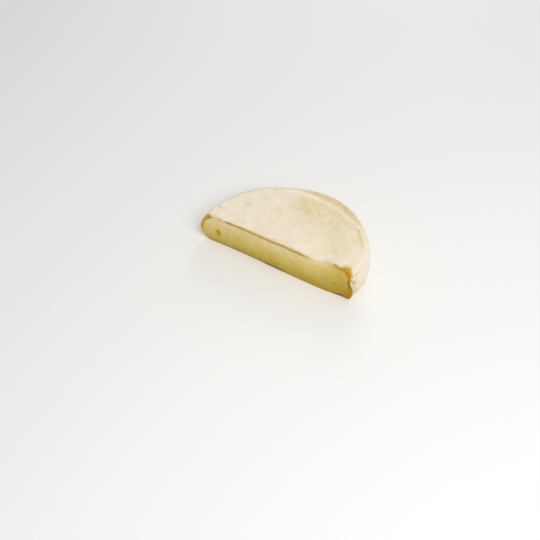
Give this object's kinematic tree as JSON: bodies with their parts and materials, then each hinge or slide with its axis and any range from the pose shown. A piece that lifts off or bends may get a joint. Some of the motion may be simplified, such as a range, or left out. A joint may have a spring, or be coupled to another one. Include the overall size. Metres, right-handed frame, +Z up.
{
  "type": "half reblochon cheese",
  "caption": "Half of a small round soft cheese, cut straight across: pale bloomy rind printed with cloth ribs, yellow paste with a few eyes, flat underside.",
  "frame": {"origin": "below the middle of the bounding box, on the plane the cheese stands on", "axes": "+X along the cut from its left end to its right end, seen from the front; -Y out of the cut face; +Z up"},
  "size_m": [0.141, 0.0752, 0.0322],
  "materials": {
    "rind": null
  },
  "bodies": {
    "root": {"reblochon": "rind"}
  },
  "joints": []
}
